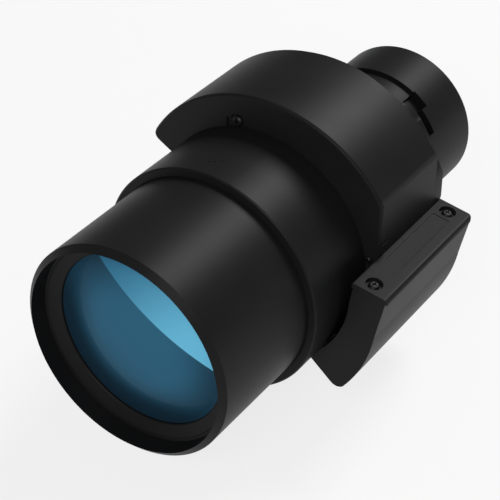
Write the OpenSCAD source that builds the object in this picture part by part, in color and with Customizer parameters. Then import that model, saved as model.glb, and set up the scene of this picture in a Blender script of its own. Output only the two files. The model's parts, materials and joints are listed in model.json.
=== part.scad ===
// Motorised zoom projection lens, in millimetres.
// The optical axis is the Y axis, the screen side is -Y and +Z is up.
// The origin is the middle of the rear drum, which the projector holds.
// Lengths along the axis below count from the mounting flange's rear face.

/* [Barrels] */
// Outer radius of the fixed main barrel
barrel_r = 59.6; // [58.8:0.1:60.2]
// How far the main barrel's front face stands ahead of the flange seat
barrel_front = 104.2; // [100:0.1:108]
// Wall of the main barrel round the gears
barrel_wall = 2.4; // [2:0.1:2.8]
// Edge chamfer of the main barrel
barrel_chamfer = 0.7; // [0.3:0.1:1.2]
// Length of the main barrel's bore that guides the focus barrel
bore_len = 40; // [34:0.5:42]
// Outer radius of the sliding focus barrel
focus_r = 55.2; // [54.6:0.1:55.6]
// Running gap round the focus barrel
slide_gap = 0.2; // [0.1:0.05:0.3]
// How far the hood's lip stands ahead of the flange seat
lip_front = 171.3; // [165:0.1:176]
// Length of the lip's outer bevel along the axis
bevel_len = 2.8; // [1:0.1:4]
// Width of the lip's outer bevel
bevel_w = 3.2; // [2:0.1:3.4]
// Depth from the lip to the retaining ring
hood_depth = 9.8; // [7:0.1:12]
// How far the focus barrel's rear end stays ahead of the flange seat
focus_rear = 66; // [63.5:0.5:70]

/* [Flange] */
// Radius of the mounting flange
flange_r = 73; // [71:0.5:75]
// Thickness of the mounting flange
flange_t = 7.5; // [6.5:0.1:8.5]
// Width of the bosses' spigot that centres the main barrel
flange_spigot = 3; // [2:0.1:3.2]

/* [Rear spigot] */
// Radius of the rear drum
drum_r = 41.1; // [40.6:0.1:41.6]
// Radius of the neck ahead of the drum
neck_r = 39; // [38.6:0.1:39.4]
// Where the drum starts behind the flange seat
drum_start = 51.5; // [46:0.5:56]
// Length of the spigot behind the flange seat
spigot_len = 81.8; // [78:0.1:90]
// Bore of the spigot
spigot_bore_r = 33.2; // [32.6:0.1:33.6]
// Number of locking pockets round the spigot
lock_count = 3; // [3:1:3]
// Width of a locking pocket along the axis
lock_w = 9; // [7:0.5:10]
// Length of the locking pads ahead of the pockets
pad_len = 8; // [6:0.5:10]
// Floor radius of the locking pockets
lock_floor_r = 36.8; // [36.4:0.1:37.6]

/* [Motor cover] */
// Outer radius of the crescent cover
cover_r = 76.3; // [75.4:0.1:78]
// Sideways shift of the cover's own centre
cover_shift_x = 2.5; // [1.8:0.1:3]
// Upward shift of the cover's own centre
cover_shift_z = 1; // [0.6:0.1:1.6]
// How far the cover's front face stands ahead of the flange seat
cover_front = 60.1; // [59.6:0.1:62]
// Wall of the cover
cover_wall = 2; // [1.6:0.1:2.2]
// Distance of the cover's flat side from the axis
cover_side = 66.8; // [66:0.1:67.6]
// Angle where the crescent ends, from the X axis towards Z
cover_end_angle = 150; // [146:1:154]
// Edge fillet of the cover's front
cover_fillet = 1.6; // [0.8:0.1:2]
// Radius of the crescent's outer corner
cover_corner = 4.5; // [3:0.5:6]

/* [Side box] */
// Tilt of the side box about the optical axis
box_tilt = 9.8; // [8:0.1:11]
// How far the box's front face stands ahead of the flange seat
box_front = 84.9; // [80:0.5:90]
// How far the box's rear face stays ahead of the flange seat
box_rear = 1.1; // [0.6:0.1:3]
// Height of the lid's top above the axis, in the tilted frame
lid_top = 25.9; // [25:0.1:27]
// Thickness of the lid
lid_t = 2.9; // [2.6:0.1:3.4]
// Distance of the lid's inner edge from the axis
lid_in = 63.2; // [62.8:0.1:63.6]
// Distance of the lid's outer edge from the axis
lid_out = 82.4; // [81.8:0.1:83]
// Edge fillet of the lid
lid_fillet = 2.4; // [1:0.1:2.6]
// Distance of the box's inner side from the axis
box_in = 64.1; // [63.8:0.1:64.6]
// Distance of the box's outer side from the axis
box_out = 81.4; // [80.8:0.1:81.8]
// Radius of the box's curved outer side
box_arc_r = 80.4; // [79.8:0.1:80.8]
// Angle where the box ends below, from the X axis towards Z
box_end_angle = -40.3; // [-44:0.1:-37]
// Radius of the box's lower corner
box_corner = 5; // [2:0.5:6]
// Wall of the side box
box_wall = 2; // [1.5:0.1:2.4]

/* [Gears] */
// Gear module
gear_m = 0.8; // [0.8:0.1:0.8]
// Teeth of a full turn of each ring
ring_teeth = 138; // [138:1:138]
// Teeth of each idler
idler_teeth = 16; // [16:1:16]
// Teeth of each motor pinion
pinion_teeth = 12; // [12:1:12]
// Width of the gears
gear_w = 5; // [4:0.1:5.2]
// Thinning of each tooth for backlash
backlash = 0.16; // [0.1:0.01:0.25]
// Angle of the focus idler, from the X axis towards Z
focus_angle = 116; // [114:1:117]
// Angle of the zoom idler, from the X axis towards Z
zoom_angle = 72; // [68:1:76]

/* [Cams and guides] */
// Outer radius of the fixed guide sleeve
sleeve_r = 48.9; // [48.7:0.1:49]
// Wall of the guide sleeve
sleeve_wall = 3.4; // [3:0.1:3.6]
// Running gap between sleeve, cams and cells
cam_gap = 0.3; // [0.2:0.05:0.35]
// Wall of the rotating cams
cam_wall = 3; // [2.6:0.1:3]
// Radius of the follower pins
pin_r = 2; // [1.6:0.1:2.1]
// Gap between a follower pin and its slot
pin_gap = 0.2; // [0.15:0.05:0.3]
// Turn of each cam to either side of rest, in degrees
cam_turn = 30; // [26:1:31]
// Travel of the focus barrel to either side of rest
focus_travel = 4; // [3:0.5:4.5]
// Travel of the variator to either side of rest
variator_travel = 6; // [5:0.2:6.2]
// Travel of the compensator to either side of rest
compensator_travel = 2.4; // [2:0.1:2.6]
// Rest place of the focus pins ahead of the flange seat
focus_pin_y = 78; // [77:0.5:80]
// Rest place of the variator pins ahead of the flange seat
variator_y = 35.5; // [35.2:0.1:36]
// Rest place of the compensator pins ahead of the flange seat
compensator_y = 19.5; // [19:0.1:19.8]

/* [Motors] */
// Radius of the motors
motor_r = 6; // [5:0.1:6.1]
// Length of the motors
motor_len = 30; // [20:0.5:32]
// Radius of the motor shafts
shaft_r = 1; // [0.8:0.1:1.2]

/* [Lenses] */
// Edge radius of the front lens
front_lens_r = 48; // [47.6:0.1:48.4]
// Clear radius of the front lens
front_clear_r = 44.9; // [44:0.1:45.2]
// Radius of curvature of the front lens's front surface
front_curve_r = 150; // [130:1:260]
// Edge radius of the second lens
second_lens_r = 42; // [40:0.1:42.4]
// Edge radius of the zoom lenses
zoom_lens_r = 40.6; // [39:0.1:40.8]
// Edge radius of the rear lenses
rear_lens_r = 32; // [30:0.1:32.5]

/* [Hidden] */

// Clearances, cuts and small sizes shared by several pieces
$fn = 96;
fit_gap = 0.03;
seat_gap = 0.1;
part_gap = 0.3;
overrun = 1;
thread_gap = 0.1;
screw_r = 1.5;
screw_hole_r = 1.6;
tap_r = screw_r + fit_gap;
head_r = 2.75;
head_h = 1.8;
cross_w = 0.8;
cross_len = 3.2;
cross_depth = 1;
black = [0.13, 0.13, 0.14];
dark = [0.22, 0.22, 0.24];
steel = [0.7, 0.7, 0.72];
brass = [0.78, 0.65, 0.35];
plastic = [0.9, 0.88, 0.8];
glass = [0.25, 0.5, 0.65];

// Main barrel
barrel_in = barrel_r - barrel_wall;
guide_r = focus_r + slide_gap;
guide_rear = barrel_front - bore_len;
window_half = 7.6;
barrel_screws_at = [45, 135, 225, 315];
barrel_screw_orbit = 55.4;
barrel_boss_r = 2.4;
barrel_boss_len = 10;
box_screws_y = [-54.5, -16];
box_screw_angle = -11;
lug_from = 17;
lug_to = -3;
lug_low = 3.8;

// Focus barrel
hood_r = focus_r - bevel_w;
ledge_y = lip_front - hood_depth;
cell_wall = 1.3;
thread_r = hood_r - cell_wall;
lens_bore_r = front_lens_r + seat_gap;
front_seat_y = ledge_y - 4.4;
front_edge_t = 6;
front_shoulder_y = front_seat_y - front_edge_t;
front_stop_r = 45.6;
front_glass_r = 44.5;
second_bore_r = second_lens_r + seat_gap;
front_rear_curve = 120;
second_front_curve = 200;
second_rear_curve = 90;
second_front_y = 142.5;
second_edge_t = 8.5;
second_stop_y = second_front_y - second_edge_t;
second_stop_r = 39;
second_glass_r = 38.8;
second_rear_y = second_stop_y - 2;
sleeve_in_r = sleeve_r + cam_gap + cam_wall + part_gap;
skirt_y = second_rear_y - 14;

// Rotating cams and the fixed guide sleeve
sleeve_in = sleeve_r - sleeve_wall;
cam_in = sleeve_r + cam_gap;
cam_out = cam_in + cam_wall;
cam_mid = cam_in + cam_wall / 2;
degree = PI / 180;
ring_pitch_r = gear_m * ring_teeth / 2;
idler_pitch_r = gear_m * idler_teeth / 2;
pinion_pitch_r = gear_m * pinion_teeth / 2;
addendum = gear_m;
dedendum = 1.25 * gear_m;
pressure_angle = 25;
focus_gear_front = 57;
focus_gear_rear = focus_gear_front - gear_w;
focus_sleeve_front = 90;
thrust_gap = 0.25;
thrust_w = 2;
zoom_gear_front = focus_gear_rear - thrust_w - 2 * thrust_gap;
zoom_gear_rear = zoom_gear_front - gear_w;
sleeve_flange_t = 3;
sleeve_rear = flange_t + sleeve_flange_t;
zoom_cam_rear = sleeve_rear + thrust_gap;
sleeve_front = 95;
clip_w = 2.2;
clip_h = 2.4;
sector_half = cam_turn + 12;
focus_pins_at = [30, 150, 270];
variator_pins_at = [90, 210, 330];
compensator_pins_at = [30, 150, 270];
slot_r = pin_r + pin_gap;
idler_orbit = ring_pitch_r + idler_pitch_r;
motor_orbit = barrel_r + motor_r + 1.2;
pair_reach = idler_pitch_r + pinion_pitch_r;
motor_swing = acos((idler_orbit * idler_orbit + motor_orbit * motor_orbit - pair_reach * pair_reach)
    / (2 * idler_orbit * motor_orbit));
focus_motor_angle = focus_angle + motor_swing;
zoom_motor_angle = zoom_angle - motor_swing;

// Zoom cells
cell_r = sleeve_in - cam_gap;
cell_in = zoom_lens_r + seat_gap;
cell_stop_r = cell_in - 2.6;
zoom_glass_r = cell_stop_r - 0.2;
variator_len = 12;
compensator_len = 10;
cell_stop_t = 1.2;

// Bracket and motors
axle_r = 1.5;
axle_gap = 0.05;
clip_ahead = 0.25;
axle_end = 0.85;
clip_groove = 0.35;
plate_front = 43;
plate_t = 2;
plate_rear = plate_front - plate_t;
motor_rear = plate_rear - motor_len;
nose_r = 2.6;
nose_bore_len = 4;
bracket_in = barrel_r + seat_gap;
bracket_out = barrel_r + 12.6;
post_r = 3;
post_angles = [46, 90, 134];
bracket_from = 42;
bracket_to = 138;

// Cover
cover_in_r = cover_r - cover_wall;
cover_under_r = barrel_r + 0.15;
cover_rear = flange_t;
cover_screw_x = -13.3;
cover_screw_z = 61.4;
cover_notch_half = 6.3;
cover_notch_d = 0.9;
side_foot_t = 6;
side_lug_t = 8;
side_screw_x = 60.9;
side_screw_z = 10.6;
side_head_r = 2;
side_head_h = 1.4;

// Box
box_top = lid_top - lid_t;
corner_blend = 0.05;
hollow_x = 10.4;
hollow_z = 6;
hollow_r = 55.2;
lid_screw_x = 71.2;
lid_screw_front = 78.3;
lid_screw_rear = 7.6;
lid_sink_r = 4.15;
lid_sink_d = 1.9;
boss_r = 4.2;
boss_low = 13;
label_x0 = 66.4;
label_x1 = 75.3;
label_front = 60;
label_rear = 13.6;
label_d = 0.3;
plug_x0 = 68.8;
plug_x1 = 78.8;
plug_z0 = -8;
plug_z1 = 12;
plug_depth = 7;
plug_wall = 1.4;
contact_r = 0.5;
contact_rows = 2;
contact_count = 6;
contact_first = 3.5;
contact_pitch = 2.6;
board_x = 73;
board_t = 1.6;
board_front = 72;
board_low = -13;
board_h = 34;
board_screws_y = [-62, -24];
board_screw_z = 4;
board_post_r = 2.8;
board_tap_r = 1.13;
board_head_r = 2;
board_head_h = 1.4;
board_screw_len = 5;
box_pad_r = 4.6;
box_pad_len = 6.4;
box_head_h = 1.7;

function along(r, a) = [r * cos(a), r * sin(a)];
function arc(cx, cz, r, a0, a1, n) =
    [for (i = [0 : n]) [cx + r * cos(a0 + (a1 - a0) * i / n), cz + r * sin(a0 + (a1 - a0) * i / n)]];
function tilt_point(x, z) =
    [x * cos(box_tilt) + z * sin(box_tilt), z * cos(box_tilt) - x * sin(box_tilt)];

// Colours a piece and moves it from the flange's rear face to the drum's middle
module placed(shade) {
    color(shade) translate([0, -(drum_start + spigot_len) / 2, 0]) children();
}

// Turns a profile of [radius, y] points about the optical axis
module lathe() {
    rotate([-90, 0, 0]) rotate_extrude() children();
}

// Round tube about the optical axis between two places along it
module tube(r_out, r_in, y0, y1) {
    lathe() translate([r_in, y0]) square([r_out - r_in, y1 - y0]);
}

// Extrudes an X-Z outline along the optical axis
module prism(y0, y1) {
    translate([0, y1, 0]) rotate([90, 0, 0]) linear_extrude(y1 - y0) children();
}

// Round bar parallel to the optical axis
module rod(x, z, r, y0, y1) {
    translate([x, y1, z]) rotate([90, 0, 0]) cylinder(r = r, h = y1 - y0);
}

module rod_at(orbit, a, r, y0, y1) {
    rod(orbit * cos(a), orbit * sin(a), r, y0, y1);
}

// Turns the X axis to an angle measured towards Z
module at_angle(a) {
    rotate([0, -a, 0]) children();
}

// Round bar that points away from the optical axis
module spoke(a, y, r, r0, r1) {
    at_angle(a) translate([r0, y, 0]) rotate([0, 90, 0]) cylinder(r = r, h = r1 - r0);
}

// Straight slot with round ends through a tube's wall
module straight_slot(a, y, half_len, half_w, r0, r1) {
    at_angle(a) {
        translate([r0, y - half_len, -half_w]) cube([r1 - r0, 2 * half_len, 2 * half_w]);
        for (side = [-1, 1])
            translate([r0, y + side * half_len, 0]) rotate([0, 90, 0]) cylinder(r = half_w, h = r1 - r0);
    }
}

// Cam slot that climbs steadily round a tube, with rounded ends
end_steps = 5;
turn_steps = 12;
function slot_stations(turn, reach) = concat(
    [for (i = [0 : end_steps - 1]) -turn - reach * cos(90 * i / end_steps)],
    [for (i = [0 : turn_steps]) -turn + 2 * turn * i / turn_steps],
    [for (i = [1 : end_steps]) turn + reach * sin(90 * i / end_steps)]);
end_flat_share = 0.2;
function slot_height(s, turn, reach) =
    abs(s) <= turn ? 1 : max(end_flat_share, sqrt(max(0, 1 - pow((abs(s) - turn) / reach, 2))));
function slot_point(r, a, y) = [r * cos(a), y, r * sin(a)];

module cam_slot(a, y, turn, travel, r0, r1) {
    climb = travel / turn;
    slope = climb / (cam_in * degree);
    half = slot_r * sqrt(1 + slope * slope);
    reach = 1.15 * slot_r / (cam_in * degree);
    stations = slot_stations(turn, reach);
    points = [for (s = stations) let (h = half * slot_height(s, turn, reach), c = y + climb * s)
        each [slot_point(r0, a + s, c - h), slot_point(r0, a + s, c + h),
              slot_point(r1, a + s, c + h), slot_point(r1, a + s, c - h)]];
    loop = [0, 3, 2, 1, 0];
    last = 4 * (len(stations) - 1);
    sides = [for (i = [0 : len(stations) - 2]) for (j = [0 : 3])
        each [[4 * i + loop[j], 4 * i + 4 + loop[j], 4 * i + 4 + loop[j + 1]],
              [4 * i + loop[j], 4 * i + 4 + loop[j + 1], 4 * i + loop[j + 1]]]];
    caps = [[0, 3, 2], [0, 2, 1], [last, last + 1, last + 2], [last, last + 2, last + 3]];
    polyhedron(points = points, faces = concat(sides, caps), convexity = 4);
}

// Involute gears
function inv(a) = tan(a) - a * degree;
function tooth_half(r, z, base_r) =
    (PI / (2 * z) - backlash / (gear_m * z)) / degree + (inv(pressure_angle) - inv(acos(min(1, base_r / r)))) / degree;
flank_steps = 4;
rim_steps = 90;
function tooth(z, a) = let (
        pitch_r = gear_m * z / 2,
        base_r = pitch_r * cos(pressure_angle),
        root_r = pitch_r - dedendum,
        tip_r = pitch_r + addendum,
        start_r = max(base_r, root_r),
        flank = [for (k = [0 : flank_steps]) let (r = start_r + (tip_r - start_r) * k / flank_steps)
            [r, tooth_half(r, z, base_r)]],
        foot = start_r > root_r ? [root_r] : [])
    concat([for (r = foot) along(r, a - flank[0][1])],
        [for (f = flank) along(f[0], a - f[1])],
        [for (k = [flank_steps : -1 : 0]) along(flank[k][0], a + flank[k][1])],
        [for (r = foot) along(r, a + flank[0][1])]);

// Whole gear outline with a tooth centred at the given angle
module gear_outline(z, a) {
    polygon([for (i = [0 : z - 1]) each tooth(z, a + 360 * i / z)]);
}

// Toothed sector on a plain rim, with a tooth centred at the given angle
module sector_outline(z, a, half) {
    root_r = gear_m * z / 2 - dedendum;
    pitch = 360 / z;
    count = floor(half / pitch);
    from = a + (count + 0.5) * pitch;
    plain = 360 - (2 * count + 1) * pitch;
    polygon(concat(
        [for (i = [-count : count]) each tooth(z, a + i * pitch)],
        [for (i = [0 : rim_steps]) along(root_r, from + plain * i / rim_steps)]));
}

// Spherical lens between two edge planes, where a positive curve bulges out
function sag(curve, r) = abs(curve) - sqrt(curve * curve - r * r);
lens_fn = 720;
module lens(edge_r, clear_r, y_front, front_curve, y_rear, rear_curve) {
    front_sag = sag(front_curve, clear_r);
    rear_sag = sag(rear_curve, clear_r);
    lathe() difference() {
        union() {
            translate([0, y_front]) square([edge_r, y_rear - y_front]);
            if (front_curve > 0) intersection() {
                translate([0, y_front - front_sag]) square([clear_r, front_sag + overrun]);
                translate([0, y_front - front_sag + front_curve]) circle(r = front_curve, $fn = lens_fn);
            }
            if (rear_curve > 0) intersection() {
                translate([0, y_rear - overrun]) square([clear_r, rear_sag + overrun]);
                translate([0, y_rear + rear_sag - rear_curve]) circle(r = rear_curve, $fn = lens_fn);
            }
        }
        if (front_curve < 0)
            translate([0, y_front + front_sag + front_curve]) circle(r = -front_curve, $fn = lens_fn);
        if (rear_curve < 0)
            translate([0, y_rear - rear_sag - rear_curve]) circle(r = -rear_curve, $fn = lens_fn);
    }
}

// Pan-head screw along the axis, with a cross recess, its head towards -Y
module cross_screw(x, z, y_seat, len, r, hr, h) {
    difference() {
        union() {
            rod(x, z, r, y_seat, y_seat + len);
            translate([x, y_seat, z]) rotate([-90, 0, 0]) rotate_extrude()
                polygon([[0, -h], [hr * 0.7, -h], [hr * 0.93, -h * 0.75], [hr, -h * 0.4], [hr, 0], [0, 0]]);
        }
        for (turn = [0, 90])
            translate([x, y_seat - h, z]) rotate([0, turn, 0])
                translate([-cross_len / 2, -overrun, -cross_w / 2])
                    cube([cross_len, overrun + cross_depth, cross_w]);
    }
}

// Fixed outer tube: guides the focus barrel and carries everything else
module main_barrel() {
    placed(black) difference() {
        lathe() polygon([
            [guide_r, -barrel_front], [barrel_r - barrel_chamfer, -barrel_front],
            [barrel_r, -barrel_front + barrel_chamfer], [barrel_r, -flange_t],
            [barrel_in, -flange_t], [barrel_in, -guide_rear + barrel_wall],
            [guide_r, -guide_rear]]);
        gear_window(focus_angle, focus_gear_front, focus_gear_rear);
        gear_window(zoom_angle, zoom_gear_front, zoom_gear_rear);
        clip_window(focus_angle, focus_gear_front);
        clip_window(zoom_angle, zoom_gear_front);
        for (a = barrel_screws_at)
            rod_at(barrel_screw_orbit, a, tap_r, -flange_t - flange_spigot - barrel_boss_len - overrun, 0);
        for (y = box_screws_y) {
            spoke(box_screw_angle, y, screw_hole_r, barrel_in - barrel_wall, barrel_r + overrun);
            spoke(box_screw_angle, y, head_r + part_gap, barrel_in - barrel_wall, barrel_in);
        }
    }
    placed(black) difference() {
        union() {
            for (a = barrel_screws_at) barrel_boss(a);
            intersection() {
                side_lug(-cover_front + side_foot_t + seat_gap, -cover_front + side_foot_t + side_lug_t);
                under_lid_line(-seat_gap);
            }
        }
        for (a = barrel_screws_at)
            rod_at(barrel_screw_orbit, a, tap_r, -flange_t - flange_spigot - barrel_boss_len - overrun, 0);
        rod(side_screw_x, side_screw_z, tap_r, -cover_front, 0);
    }
}

// Boss inside the barrel's rear end for a flange screw
module barrel_boss(a) {
    intersection() {
        rod_at(barrel_screw_orbit, a, barrel_boss_r, -flange_t - flange_spigot - barrel_boss_len,
            -flange_t - flange_spigot);
        tube(barrel_in + overrun, 0, -barrel_front, 0);
    }
}

// Tongue between the barrel and the side box
module side_lug(y0, y1) {
    corner = tilt_point(lid_in - part_gap, lid_top);
    low = tilt_point(lid_in - part_gap, lug_low);
    prism(y0, y1) difference() {
        polygon([[0, 0], along(1.2 * barrel_r, lug_from), [corner[0] - 1.4, corner[1] + 0.6], corner, low,
            along(barrel_r, lug_to)]);
        circle(r = barrel_r - overrun);
    }
}

// Everything below the line where the cover ends on the lid
module under_lid_line(gap) {
    far = 2 * barrel_r;
    translate([0, -far, lid_line_z + gap - far]) cube([far, far, far]);
}

// Notch in front of a gear window for the idler's clip
module clip_window(a, front) {
    rod_at(idler_orbit, a, clip_out_r + part_gap, -front - axle_end - part_gap, -front);
}

module gear_window(a, front, rear) {
    spread = 2 * barrel_r;
    intersection() {
        tube(barrel_r + overrun, barrel_in - overrun, -front - part_gap, -rear + part_gap);
        prism(-front - part_gap, -rear + part_gap)
            polygon([[0, 0], along(spread, a - window_half), along(spread, a + window_half)]);
    }
}

// Sliding barrel with the hood: holds the front glass and is moved by the focus ring
module focus_barrel() {
    placed(black) difference() {
        lathe() polygon([
            [hood_r, -lip_front], [focus_r, -lip_front + bevel_len], [focus_r, -focus_rear],
            [sleeve_in_r, -focus_rear], [sleeve_in_r, -skirt_y], [second_bore_r + cell_wall, -second_rear_y],
            [second_stop_r, -second_rear_y], [second_stop_r, -second_stop_y],
            [second_bore_r, -second_stop_y], [second_bore_r, -second_front_y - 4],
            [front_stop_r, -front_shoulder_y + 3], [front_stop_r, -front_shoulder_y],
            [lens_bore_r, -front_shoulder_y], [lens_bore_r, -front_seat_y],
            [thread_r, -front_seat_y], [thread_r, -ledge_y + 0.4], [hood_r, -ledge_y]]);
        for (a = focus_pins_at)
            spoke(a, -focus_pin_y, pin_r + fit_gap, sleeve_in_r - overrun, focus_r - 0.6);
    }
}

// Ring screwed in front of the front glass
module front_retainer() {
    lip = 0.6;
    placed(black) lathe() polygon([
        [thread_r - thread_gap, -ledge_y + 0.2], [front_clear_r + lip, -ledge_y + 2.6],
        [front_clear_r, -ledge_y + 2.6 + lip], [front_clear_r, -front_seat_y],
        [thread_r - thread_gap, -front_seat_y]]);
}

module front_lens() {
    placed(glass) lens(front_lens_r, front_glass_r, -front_seat_y, front_curve_r, -front_shoulder_y, -front_rear_curve);
}

module second_lens() {
    placed(glass) lens(second_lens_r, second_glass_r, -second_front_y, second_front_curve, -second_stop_y, -second_rear_curve);
}

module second_retainer() {
    placed(black) tube(second_bore_r - thread_gap, second_lens_r - 3, -second_front_y - 2.2, -second_front_y);
}

module focus_pins() {
    placed(brass) for (a = focus_pins_at)
        spoke(a, -focus_pin_y, pin_r, sleeve_in + overrun, focus_r - 0.7);
}

// Flange plate that seats on the projector, flush with the cover's flat side
module mount_flange() {
    ring_r = barrel_in - seat_gap;
    placed(black) difference() {
        union() {
            intersection() {
                tube(flange_r, 0, -flange_t, 0);
                prism(-flange_t, 0) translate([-flange_r - overrun, -flange_r - overrun])
                    square([flange_r + overrun + cover_side, 2 * (flange_r + overrun)]);
            }
            tube(ring_r, cam_out + cam_gap, -flange_t - flange_spigot, -flange_t);
        }
        tube(neck_r + seat_gap, 0, -flange_t - overrun, overrun);
        tube(base_r + seat_gap, 0, -flange_t - overrun, -base_floor);
        for (a = post_angles) {
            rod_at(motor_orbit, a, screw_hole_r, -flange_t - overrun, overrun);
            rod_at(motor_orbit, a, head_r + part_gap, -flange_head_d, overrun);
        }
        for (a = barrel_screws_at) {
            rod_at(barrel_screw_orbit, a, screw_hole_r, -sleeve_rear - overrun, overrun);
            rod_at(barrel_screw_orbit, a, head_r + part_gap, -flange_head_d, overrun);
        }
        tilted() prism(-flange_t - overrun, overrun) box_outline(-seat_gap, box_top + 2 * lid_t);
        tilted() prism(-flange_t - overrun, overrun)
            translate([lid_in - seat_gap, lid_top - lid_t - seat_gap]) square([lid_out - lid_in, 3 * lid_t]);
        for (a = sleeve_screws_at)
            rod_at(sleeve_screw_orbit, a, sleeve_screw_r + fit_gap, -flange_t, -sleeve_screw_end + seat_gap);
    }
}
base_r = 44;
base_t = 4;
base_floor = flange_t - base_t;
flange_head_d = 2.2;
sleeve_screws_at = [0, 120, 240];
sleeve_screw_orbit = 42.2;
sleeve_screw_r = 1.1;
sleeve_screw_end = 1.6;
sleeve_head_r = 1.7;
sleeve_head_h = 1.3;

// Rear tube: neck, drum and the pockets that the projector's lock drops into
lock_in = 1;
lock_top = 59;
lock_low = 26;
pad_top = 50;
pad_low = -6;
ramp_share = 0.45;
module rear_barrel() {
    placed(black) difference() {
        union() {
            tube(base_r, rear_step_r, -flange_t, -base_floor);
            tube(neck_r, rear_step_r, -base_floor, pad_front + overrun);
            lathe() polygon([
                [rear_step_r, pad_front], [drum_r, pad_front], [drum_r, spigot_len - drum_chamfer],
                [drum_r - drum_chamfer, spigot_len], [rear_step_r, spigot_len]]);
        }
        for (i = [0 : lock_count - 1]) at_angle(360 * i / lock_count) pad_gap();
        tube(rear_cell_r + seat_gap, 0, -flange_t - overrun, spigot_len + overrun);
        for (i = [0 : lock_count - 1]) at_angle(360 * i / lock_count) locking_pocket();
        for (a = sleeve_screws_at)
            rod_at(sleeve_screw_orbit, a, sleeve_screw_r + seat_gap, -flange_t - overrun, 0);
    }
}
drum_chamfer = 0.8;
rear_step_r = 30;
rear_stop_r = 30.5;
rear_glass_r = 30;
rear_stop_t = 3;
rear_inner_seat = 12;
rear_inner_front = 3;
rear_outer_seat = 66;

// Cell of the rear lenses, screwed into the rear tube
module rear_cell() {
    placed(dark) difference() {
        tube(rear_cell_r, 0, rear_cell_y, spigot_len - drum_chamfer);
        tube(rear_lens_r + seat_gap, 0, rear_cell_y - overrun, rear_inner_seat);
        tube(rear_stop_r, 0, 0, spigot_len);
        tube(spigot_bore_r, 0, rear_inner_seat + rear_stop_t, rear_outer_seat - rear_stop_t);
        tube(rear_lens_r + seat_gap, 0, rear_outer_seat, spigot_len);
    }
}
rear_cell_wall = 1.2;
rear_cell_r = spigot_bore_r + rear_cell_wall;
rear_cell_y = -base_floor;

// Gap between two locking pads, down to the neck
pad_front = drum_start - lock_w - pad_len;
module pad_gap() {
    next = pad_low + 360 / lock_count;
    intersection() {
        tube(drum_r + overrun, neck_r, pad_front - overrun, drum_start);
        prism(pad_front - overrun, drum_start)
            polygon([[0, 0], along(2 * drum_r, pad_top), along(2 * drum_r, (pad_top + next) / 2),
                along(2 * drum_r, next)]);
    }
}

// Pocket with a rear wall that ramps forward towards its closed end
module locking_pocket() {
    front = drum_start - lock_w;
    ramp = ramp_share * lock_w;
    intersection() {
        tube(drum_r + overrun, lock_floor_r, front, drum_start + lock_in);
        union() {
            prism(front, drum_start + lock_in)
                polygon([[0, 0], along(2 * drum_r, lock_top - 14), along(2 * drum_r, lock_top)]);
            prism(front, drum_start - ramp)
                polygon([[0, 0], along(2 * drum_r, lock_low), along(2 * drum_r, lock_top - 14)]);
        }
    }
}

module rear_inner_lens() {
    placed(glass) lens(rear_lens_r, rear_glass_r, rear_inner_front, 90, rear_inner_seat, 70);
}

module rear_inner_retainer() {
    placed(black) tube(rear_lens_r, rear_stop_r, rear_inner_front - retainer_t, rear_inner_front);
}

module rear_outer_lens() {
    placed(glass) lens(rear_lens_r, rear_glass_r, rear_outer_seat, 120, rear_outer_seat + 8, 60);
}

module rear_retainer() {
    placed(black) difference() {
        tube(rear_lens_r, rear_stop_r, rear_outer_seat + 8, spigot_len - 2.2);
        for (side = [0, 180]) at_angle(side)
            translate([rear_lens_r - 3, spigot_len - 3.4, -overrun]) cube([4, 4, 2 * overrun]);
    }
}

// Fixed sleeve with the straight slots that stop the lens cells from turning
module guide_sleeve() {
    placed(dark) difference() {
        union() {
            tube(sleeve_r, sleeve_in, -sleeve_front, -flange_t);
            tube(cam_out, neck_r + 1, -sleeve_rear, -flange_t);
        }
        sleeve_slots(focus_pins_at, focus_pin_y, focus_travel);
        sleeve_slots(variator_pins_at, variator_y, variator_travel);
        sleeve_slots(compensator_pins_at, compensator_y, compensator_travel);
        tube(sleeve_r + overrun, sleeve_r - clip_h / 2, -clip_front, -clip_front + clip_w + 2 * fit_gap);
        tube(sleeve_r + overrun, sleeve_r - clip_h / 2, -thrust_front - fit_gap, -thrust_front + thrust_w + fit_gap);
        for (a = sleeve_screws_at) {
            rod_at(sleeve_screw_orbit, a, sleeve_screw_r + seat_gap, -sleeve_rear - overrun, 0);
            rod_at(sleeve_screw_orbit, a, sleeve_head_r + seat_gap, -sleeve_rear - overrun,
                -sleeve_rear + sleeve_head_h + seat_gap);
        }
    }
}

module sleeve_slots(angles, y, travel) {
    for (a = angles)
        straight_slot(a, -y, travel + 0.4, pin_r + 0.15, sleeve_in - overrun, sleeve_r + overrun);
}
thrust_front = focus_gear_rear - thrust_gap;
clip_front = focus_sleeve_front + thrust_gap + clip_w + 2 * fit_gap;

// Open clip that keeps the focus ring from moving forwards
module front_clip() {
    split_ring(sleeve_r - clip_h / 2 + fit_gap, cam_out - 1, -clip_front + fit_gap,
        -clip_front + clip_w + fit_gap);
}

// Open ring between the focus ring and the zoom cam
module thrust_ring() {
    split_ring(sleeve_r - clip_h / 2 + fit_gap, cam_out, -thrust_front, -thrust_front + thrust_w);
}

module split_ring(r_in, r_out, y0, y1) {
    placed(steel) difference() {
        tube(r_out, r_in, y0, y1);
        translate([0, y0 - overrun, -clip_h]) cube([r_out + overrun, y1 - y0 + 2 * overrun, 2 * clip_h]);
    }
}

// Rotating ring whose three helical slots push the focus barrel's pins
module focus_ring() {
    placed(dark) difference() {
        union() {
            tube(cam_out, cam_in, -focus_sleeve_front, -focus_gear_rear);
            cam_gear(focus_angle, focus_gear_front, focus_gear_rear);
        }
        tube(cam_in, 0, -focus_sleeve_front - overrun, overrun);
        for (a = focus_pins_at)
            cam_slot(a, -focus_pin_y, cam_turn, focus_travel, cam_in - overrun, cam_out + overrun);
    }
}

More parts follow.
